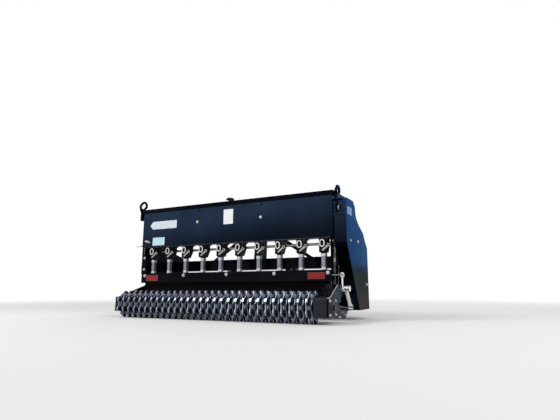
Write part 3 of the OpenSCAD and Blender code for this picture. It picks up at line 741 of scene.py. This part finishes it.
def reflectorBlock(bm, sides, heights, y, thickness):
    (a, b), (low, high) = sides, heights
    outline = roundedOutline([(a, low), (b, low), (b, high), (a, high)], reflectorPair["corner"])
    slab(bm, [spot(p.x, y, p.y) for p in outline], thickness, back)


def reflectorMounts(bm):
    r = reflectorPair
    heights = (r["height"][0] - r["mountRim"], r["height"][1] + r["mountRim"])
    leftLens, rightLens = r["lens"]
    reflectorBlock(bm, (leftLens[1] + r["mountSide"], -r["mountEnd"]), heights, r["rear"], r["mountT"])
    reflectorBlock(bm, (rightLens[0] - r["mountSide"], r["mountEnd"]), heights, r["rear"], r["mountT"])


def reflectorLenses(bm):
    r = reflectorPair
    low, high = r["height"]
    flat = bm.loops.layers.uv.new("flat")
    for sides in r["lens"]:
        reflectorBlock(bm, sides, r["height"], r["rear"] - r["mountT"], r["lensT"])
    for face in bm.faces:
        for loop in face.loops:
            x, z = loop.vert.co.x * 1000, loop.vert.co.z * 1000
            a, b = r["lens"][0] if x < 0 else r["lens"][1]
            loop[flat].uv = ((2 * x - a - b) / (b - a), (2 * z - low - high) / (high - low))


mountMesh = closedMesh("reflectorMounts", reflectorMounts)
lensMesh = closedMesh("reflectorLenses", reflectorLenses)
addPiece("reflectorMounts", mountMesh, finish["matt"], "root")
lenses = addPiece("reflectorLenses", lensMesh, finish["red"], "root")
softenPlate(lenses, reflectorPair["soft"])
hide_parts("reflectors")


# folded strips and small brackets, each a flat outline thickened along an axis
trims = {
    "shieldLedge": {
        "corners": [(905, 4, 761), (1016, 4, 761), (1016, 15, 761), (905, 15, 761)],
        "thick": 10,
        "along": up,
        "finish": "arms",
        "slot": "black_paint",
        "soft": 1.5,
    },
    "rateMark": {
        "corners": [(-890, 0, 652), (-829, 0, 638), (-829, 0, 646), (-862, 0, 664), (-890, 0, 664)],
        "thick": 3,
        "along": back,
        "finish": "zinc",
        "slot": "plated_steel",
        "soft": 0.8,
    },
    "leftFlange": {
        "corners": [
            (-915, 0, 606.5), (-894, 0, 606.5), (-894, 0, 545),
            (-862, 0, 525), (-862, 0, 362), (-915, 0, 362),
        ],
        "thick": 6,
        "along": front,
        "finish": "chassis",
        "slot": "black_paint",
        "soft": 0.8,
    },
    "leftWeb": {
        "corners": [(-894, 6, 362), (-894, 36, 362), (-894, 36, 606.5), (-894, 6, 606.5)],
        "thick": 6,
        "along": right,
        "finish": "chassis",
        "slot": "black_paint",
        "soft": 0.8,
    },
    # a thin folded strip along the guard's top edge, whose pale worn steel is a painted highlight of the
    # lit edge
    "guardLitEdge": {
        "corners": [
            (965, -288, 172), (965, -225, 178), (965, -70, 261.8),
            (965, -66, 254.8), (965, -222.5, 170.3), (965, -287, 166),
        ],
        "thick": 2.5,
        "along": right,
        "finish": "midSteel",
        "slot": "black_paint",
        "soft": 0.8,
    },
}
for name, trim in trims.items():
    mesh = slabMesh(name, [spot(*c) for c in trim["corners"]], trim["thick"], trim["along"])
    piece = addPiece(name, mesh, finish[trim["finish"]], "root")
    softenPlate(piece, trim["soft"])
print("reflectors and trim made")


class Tree:
    # a geometry tree, written node by node
    def __init__(self, name, inputs):
        self.tree = bpy.data.node_groups.new(name, "GeometryNodeTree")
        face = self.tree.interface
        face.new_socket("Points", in_out="INPUT", socket_type="NodeSocketGeometry")
        for label, (kind, value) in inputs.items():
            socket = face.new_socket(label, in_out="INPUT", socket_type=kind)
            if value is not None:
                socket.default_value = value
        face.new_socket("Mesh", in_out="OUTPUT", socket_type="NodeSocketGeometry")
        self.start = self.tree.nodes.new("NodeGroupInput")
        self.end = self.tree.nodes.new("NodeGroupOutput")

    def add(self, kind, settings=None, sockets=None, out=0):
        node = self.tree.nodes.new(kind)
        for key, value in (settings or {}).items():
            setattr(node, key, value)
        for key, value in (sockets or {}).items():
            if isinstance(value, bpy.types.NodeSocket):
                self.tree.links.new(value, node.inputs[key])
            else:
                node.inputs[key].default_value = value
        return node.outputs[out]

    def value(self, label):
        return self.start.outputs[label]

    def attribute(self, label, kind):
        return self.add("GeometryNodeInputNamedAttribute", {"data_type": kind}, {"Name": label})

    def times(self, a, b, plus=0.0):
        return self.add("ShaderNodeMath", {"operation": "MULTIPLY_ADD"}, {0: a, 1: b, 2: plus})

    def cylinder(self, sides, radius, height):
        sockets = {"Vertices": sides, "Radius": radius, "Depth": height}
        return self.add("GeometryNodeMeshCylinder", None, sockets)

    def lifted(self, mesh, height):
        offset = self.add("ShaderNodeCombineXYZ", None, {"Z": height})
        return self.add("GeometryNodeTransform", None, {"Geometry": mesh, "Translation": offset})

    def setOut(self, instance, scale):
        # one on each point, its Z turned to the point's aim
        aim = self.attribute("aim", "FLOAT_VECTOR")
        turn = self.add("FunctionNodeAlignRotationToVector", {"axis": "Z"}, {"Vector": aim})
        sockets = {"Points": self.value("Points"), "Instance": instance, "Rotation": turn, "Scale": scale}
        return self.add("GeometryNodeInstanceOnPoints", None, sockets)

    def close(self, geometry, material):
        real = self.add("GeometryNodeRealizeInstances", None, {"Geometry": geometry})
        done = self.add("GeometryNodeSetMaterial", None, {"Geometry": real, "Material": material})
        self.tree.links.new(done, self.end.inputs[0])
        return self.tree


boltShape = {
    "washer": 1.28,  # radius against the head's across-corner radius
    "crownFoot": 0.86,
    "crownTop": 0.72,
    "crownH": 0.22,  # height against the head's
    "crownRise": 0.999,
}


def boltTree():
    # a hexagon head with a small crown on a washer
    tree = Tree("bolt on washer", {
        "Corner radius": ("NodeSocketFloat", 0.01),
        "Head height": ("NodeSocketFloat", 0.007),
        "Washer height": ("NodeSocketFloat", 0.002),
        "Finish": ("NodeSocketMaterial", None),
    })
    corner = tree.value("Corner radius")
    washerH = tree.value("Washer height")
    headH = tree.value("Head height")
    washer = tree.cylinder(16, tree.times(corner, boltShape["washer"]), washerH)
    head = tree.cylinder(6, corner, headH)
    crown = tree.add("GeometryNodeMeshCone", None, {
        "Vertices": 12,
        "Radius Bottom": tree.times(corner, boltShape["crownFoot"]),
        "Radius Top": tree.times(corner, boltShape["crownTop"]),
        "Depth": tree.times(headH, boltShape["crownH"]),
    })
    stack = (
        tree.lifted(washer, tree.times(washerH, 0.5)),
        tree.lifted(head, tree.times(headH, 0.5, washerH)),
        tree.lifted(crown, tree.times(headH, boltShape["crownRise"], washerH)),
    )
    join = tree.tree.nodes.new("GeometryNodeJoinGeometry")
    for mesh in stack:
        tree.tree.links.new(mesh, join.inputs[0])
    placed = tree.setOut(join.outputs[0], tree.attribute("size", "FLOAT"))
    return tree.close(placed, tree.value("Finish"))


def runTree(name, tree, points, settings, body, smooth=35):
    # the points go in as a bare mesh, and what the tree makes of them comes out as a plain mesh
    base = bpy.data.meshes.new(name + " points")
    base.from_pydata([p[0] for p in points], [], [])
    base.attributes.new("aim", "FLOAT_VECTOR", "POINT")
    base.attributes.new("size", "FLOAT", "POINT")
    base.attributes["aim"].data.foreach_set("vector", [c for p in points for c in p[1]])
    base.attributes["size"].data.foreach_set("value", [p[2] for p in points])
    holder = bpy.data.objects.new(name + " points", base)
    bpy.context.scene.collection.objects.link(holder)
    modifier = holder.modifiers.new("nodes", "NODES")
    modifier.node_group = tree
    for item in tree.interface.items_tree:
        if item.in_out == "INPUT" and item.name in settings:
            modifier[item.identifier] = settings[item.name]
    graph = bpy.context.evaluated_depsgraph_get()
    mesh = bpy.data.meshes.new_from_object(holder.evaluated_get(graph))
    mesh.name = name
    bpy.data.objects.remove(holder)
    return addPiece(name, mesh, settings["Finish"], body, smooth)


boltSizes = {
    "Corner radius": 0.0095,
    "Head height": 0.0065,
    "Washer height": 0.002,
    "Finish": finish["zinc"],
}


def bearingBolts(side, face, axis):
    # the four bolts of a flange bearing that stands on the named face
    x = side * (machine[face] + machine["bearingT"])
    y, z = machine[axis]
    return [(x, y + dy, z + dz) for dy in (-54, 54) for dz in (-45, 45)]


# rows of bolts: the way their heads face, their size against boltSizes, and their seats in mm
boltRows = {
    "rearWall": (back, 1.0, [(-303, 0, 795), (318, 0, 791)]),
    "crossbar": (back, 1.15, [(x, -4, 344) for x in (-426, 8, 442)]),
    "crossbarEnds": (back, 1.15, [(x, -7, 344) for x in (-860, 876)]),
    "leftFlange": (back, 0.9, [(-880, 0, z) for z in (402, 505)]),
    "rodNutAbove": (up, 1.45, [(977, 6, 330)]),
    "rodNutBelow": (down, 1.45, [(977, 6, 322)]),
    "rateMark": (back, 0.45, [(-880, -3, 657), (-842, -3, 645)]),
    "rateBracket": (up, 0.7, [(-960, y, 617) for y in (24, 42)]),
    "ringPlate": (left, 0.9, [(-954, 8, z) for z in (864, 890)]),
    "rearBearingLeft": (left, 0.85, bearingBolts(-1, "leftArmOut", "rearAxis")),
    "rearBearingRight": (right, 0.85, bearingBolts(1, "guardOut", "rearAxis")),
    "frontBearingLeft": (left, 0.85, bearingBolts(-1, "plateOut", "frontAxis")),
    "frontBearingRight": (right, 0.85, bearingBolts(1, "plateOut", "frontAxis")),
    "shieldTop": (right, 0.85, [(machine["shieldOut"], 99, 579)]),
    "shieldMiddle": (right, 1.0, [(machine["shieldOut"], 286, 588)]),
    "shieldFoot": (right, 1.15, [(machine["shieldOut"], 502, 264)]),
    "cupFlanges": (down, 0.6, [
        (x + dx, y, machine["floorZ"] - 5) for x in machine["rowX"] for dx in (-32, 32) for y in (44, 118)
    ]),
    "hinges": (front, 0.55, [
        (x + dx, 432.5, z) for x in (-613.33, 0, 613.33) for dx in (-46, 46) for z in (908, 924)
    ]),
}

# rows that stand on both sides: distance from the middle, size, and seats as Y and Z
sideRows = {
    "toolbarEnd": (machine["plateOut"], 1.0, [(y, z) for y in (492, 568) for z in (412, 488)]),
    "plateTop": (machine["plateOut"], 1.0, [(230, 560), (330, 560), (150, 580), (60, 580)]),
    "plateRear": (machine["plateOut"], 1.0, [(52, 300), (52, 340)]),
    "hopperEnd": (machine["hopperHalf"], 0.8, [(60, 760), (240, 760), (60, 880), (390, 880)]),
    "mast": (machine["mastFaces"][1], 1.2, [(530, 430), (530, 470)]),
}


def frameBolts():
    points = []
    for facing, size, seats in boltRows.values():
        points += [(spot(*seat), facing, size) for seat in seats]
    for side, facing in ((-1, left), (1, right)):
        for x, size, seats in sideRows.values():
            points += [(spot(side * x, y, z), facing, size) for y, z in seats]
    return points


paintedRows = {
    "rearWallTop": (back, 1.0, [(x, 0, 898) for x in (-300, 318)]),
    "loopStrap": (back, 0.8, [(946, 3, z) for z in (796, 850)]),
}
painted = [(spot(*seat), facing, size) for facing, size, seats in paintedRows.values() for seat in seats]

boltGroup = boltTree()
runTree("frameBolts", boltGroup, frameBolts(), boltSizes, "root")
paintedSizes = {**boltSizes, "Finish": finish["paint"]}
runTree("paintedBolts", boltGroup, painted, paintedSizes, "root")
print("bolts made")


weldSizes = {"Bead radius": 0.0042, "Seed": 11, "Finish": finish["weld"]}
weldShape = {
    "pitch": 4.5,
    "length": 0.75,  # a bead's length along the seam, against its width
    "spread": (0.85, 1.12),
}


def weldTree():
    # overlapping beads along a line, each a flattened ball of its own width
    tree = Tree("weld along a seam", {
        "Bead radius": ("NodeSocketFloat", 0.004),
        "Seed": ("NodeSocketInt", 7),
        "Finish": ("NodeSocketMaterial", None),
    })
    ball = {"Segments": 8, "Rings": 5, "Radius": tree.value("Bead radius")}
    bead = tree.add("GeometryNodeMeshUVSphere", None, ball)
    low, high = weldShape["spread"]
    draw = {2: low, 3: high, "Seed": tree.value("Seed")}
    width = tree.add("FunctionNodeRandomValue", {"data_type": "FLOAT"}, draw, out=1)
    length = tree.attribute("size", "FLOAT")
    scale = tree.add("ShaderNodeCombineXYZ", None, {"X": width, "Y": width, "Z": length})
    return tree.close(tree.setOut(bead, scale), tree.value("Finish"))


def seam(start, end):
    a, b = spot(*start), spot(*end)
    count = max(2, int((b - a).length * 1000 / weldShape["pitch"]))
    along = (b - a).normalized()
    return [(a.lerp(b, k / count), along, weldShape["length"]) for k in range(count + 1)]


plateIn = machine["plateIn"]
mastOut = machine["mastFaces"][1]
toolRear, toolFront, toolLow, toolTop = machine["toolbar"]
# seams of the right side from end to end, in mm; the left side mirrors them
weldSeams = {
    "toolbarEnd": [
        ((plateIn, toolRear, toolLow), (plateIn, toolRear, toolTop)),
        ((plateIn, toolFront, toolLow), (plateIn, toolFront, toolTop)),
        ((plateIn, toolRear, toolTop), (plateIn, toolFront, toolTop)),
    ],
    "crossbarEnd": [((plateIn, 36, 286), (plateIn, 36, 358))],
    "hitchLugs": [((x, toolFront, 402), (x, toolFront, 434)) for x in (259.5, 271.5, 323.5, 335.5)],
    "mastFoot": [
        ends for x in machine["mastFaces"] for ends in (
            ((x, toolFront, 402), (x, toolFront, 498)), ((x, 520, toolTop), (x, 578, toolTop)),
        )
    ],
    "mastTop": [((mastOut, 567, 778), (mastOut, 567, 822))],
    "braceFoot": [((490, 567, toolTop), (538, 567, toolTop))],
}


def frameWelds():
    points = []
    for side in (-1, 1):
        for seams in weldSeams.values():
            for (x1, y1, z1), (x2, y2, z2) in seams:
                points += seam((side * x1, y1, z1), (side * x2, y2, z2))
    return points


runTree("frameWelds", weldTree(), frameWelds(), weldSizes, "root", 60)
print("welds made")


chainLook = {
    "pitch": 15.875,
    "teeth": 14,
    "run": 21,  # links in each straight run
    "x": 912,
    "footY": 60,
    "topAhead": 35,  # how far the top wheel stands in front of the lower one
    "underFloor": 9,
    "pinOut": 6,  # from the middle of the chain to the end of a pin
}
pinSizes = {
    "Corner radius": 0.0026,
    "Head height": 0.0016,
    "Washer height": 0.0004,
    "Finish": finish["bright"],
}


def chainPlaces():
    # the same path as the chain's links: up the rear run, over the top wheel and back
    c = chainLook
    turn = 2 * math.pi / c["teeth"]
    half = range(c["teeth"] // 2)
    wheelR = c["pitch"] / (2 * math.sin(turn / 2))
    rise = c["run"] * c["pitch"]
    topZ = machine["floorZ"] - wheelR - c["underFloor"]
    footZ = topZ - math.sqrt(rise ** 2 - c["topAhead"] ** 2)
    lean = math.atan2(c["topAhead"], topZ - footZ)
    path = [(-wheelR, k * c["pitch"]) for k in range(c["run"])]
    path += [(-wheelR * math.cos(k * turn), rise + wheelR * math.sin(k * turn)) for k in half]
    path += [(wheelR, rise - k * c["pitch"]) for k in range(c["run"])]
    path += [(wheelR * math.cos(k * turn), -wheelR * math.sin(k * turn)) for k in half]
    places = []
    for u, v in path:
        y = c["footY"] + u * math.cos(lean) + v * math.sin(lean)
        z = footZ - u * math.sin(lean) + v * math.cos(lean)
        places += [(spot(c["x"] + side * c["pinOut"], y, z), right * side, 1.0) for side in (-1, 1)]
    return places


runTree("chainPins", boltGroup, chainPlaces(), pinSizes, "root")
print("chain pins made")


# the camera in millimetres and degrees, places in metres, lamps in watts
studio = {
    "sensor": 36,
    "focal": 415.2 * 36 / 560,
    "place": (1.9013, -3.0303, 0.2279),
    "pitch": 10.78,  # upwards
    "yaw": 26.35,  # to the left
    "worldStrength": 0.52,
    "lampsAimAt": (0, 0, 0.5),
    "lamps": {
        "key": {"place": (-2.6, -3.4, 4.2), "size": 2.2, "power": 155},
        "fill": {"place": (4.6, -1.2, 3.0), "size": 2.6, "power": 75},
        "back": {"place": (0.5, 4.4, 3.6), "size": 3.2, "power": 60},
    },
}
floorLook = {
    "radius": 14,
    "grey": (0.78, 0.78, 0.77),
    "pale": (0.82, 0.82, 0.81),
    "whiteFrom": (2.2, 7.5),  # metres from the middle, where the floor goes over into the background
}


def makeFloor():
    mesh = bpy.data.meshes.new("floor")
    bm = bmesh.new()
    bmesh.ops.create_circle(bm, cap_ends=True, segments=96, radius=floorLook["radius"])
    bm.to_mesh(mesh)
    bm.free()
    floor = bpy.data.objects.new("floor", mesh)
    bpy.context.scene.collection.objects.link(floor)
    material = bpy.data.materials.new("pale floor")
    material.use_nodes = True
    tree = material.node_tree
    tree.nodes.clear()
    start = Wire(tree)
    place = start.put("ShaderNodeTexCoord", out="Object")
    x, y = place.part("X"), place.part("Y")
    far = ((x * x + y * y) ** 0.5).rise(*floorLook["whiteFrom"])
    colour = place.grain(0.8, 3).tint(floorLook["grey"], floorLook["pale"])
    ground = start.put("ShaderNodeBsdfDiffuse", None, {"Color": colour})
    sky = start.put("ShaderNodeEmission", None, {"Color": (1, 1, 1, 1), "Strength": 1.0})
    seen = start.put("ShaderNodeLightPath", out="Is Camera Ray")
    mixed = start.put("ShaderNodeMixShader", None, {0: far * seen, 1: ground, 2: sky})
    output = tree.nodes.new("ShaderNodeOutputMaterial")
    tree.links.new(mixed.socket, output.inputs["Surface"])
    mesh.materials.append(material)


def makeWorld():
    world = bpy.data.worlds.new("studio")
    bpy.context.scene.world = world
    world.use_nodes = True
    tree = world.node_tree
    tree.nodes.clear()
    start = Wire(tree)
    rays = start.put("ShaderNodeLightPath", out="Is Camera Ray")
    for kind in ("Is Glossy Ray", "Is Transmission Ray"):
        rays = rays.highest(start.put("ShaderNodeLightPath", out=kind))
    strength = studio["worldStrength"] + rays * (1 - studio["worldStrength"])
    light = start.put("ShaderNodeBackground", None, {"Color": (1, 1, 1, 1), "Strength": strength})
    output = tree.nodes.new("ShaderNodeOutputWorld")
    tree.links.new(light.socket, output.inputs["Surface"])


def makeLamp(name, lamp):
    data = bpy.data.lights.new(name, "AREA")
    data.shape = "DISK"
    data.size = lamp["size"]
    data.energy = lamp["power"]
    piece = bpy.data.objects.new(name, data)
    bpy.context.scene.collection.objects.link(piece)
    piece.location = lamp["place"]
    toMachine = Vector(studio["lampsAimAt"]) - Vector(lamp["place"])
    piece.rotation_euler = toMachine.to_track_quat("-Z", "Y").to_euler()


def makeCamera():
    data = bpy.data.cameras.new("camera")
    data.lens = studio["focal"]
    data.sensor_width = studio["sensor"]
    data.sensor_fit = "HORIZONTAL"
    camera = bpy.data.objects.new("camera", data)
    bpy.context.scene.collection.objects.link(camera)
    camera.location = studio["place"]
    camera.rotation_euler = (math.radians(90 + studio["pitch"]), 0, math.radians(studio["yaw"]))
    bpy.context.scene.camera = camera


makeFloor()
makeWorld()
for name, lamp in studio["lamps"].items():
    makeLamp(name, lamp)
makeCamera()
bpy.context.scene.view_settings.view_transform = "Standard"
print("studio set")
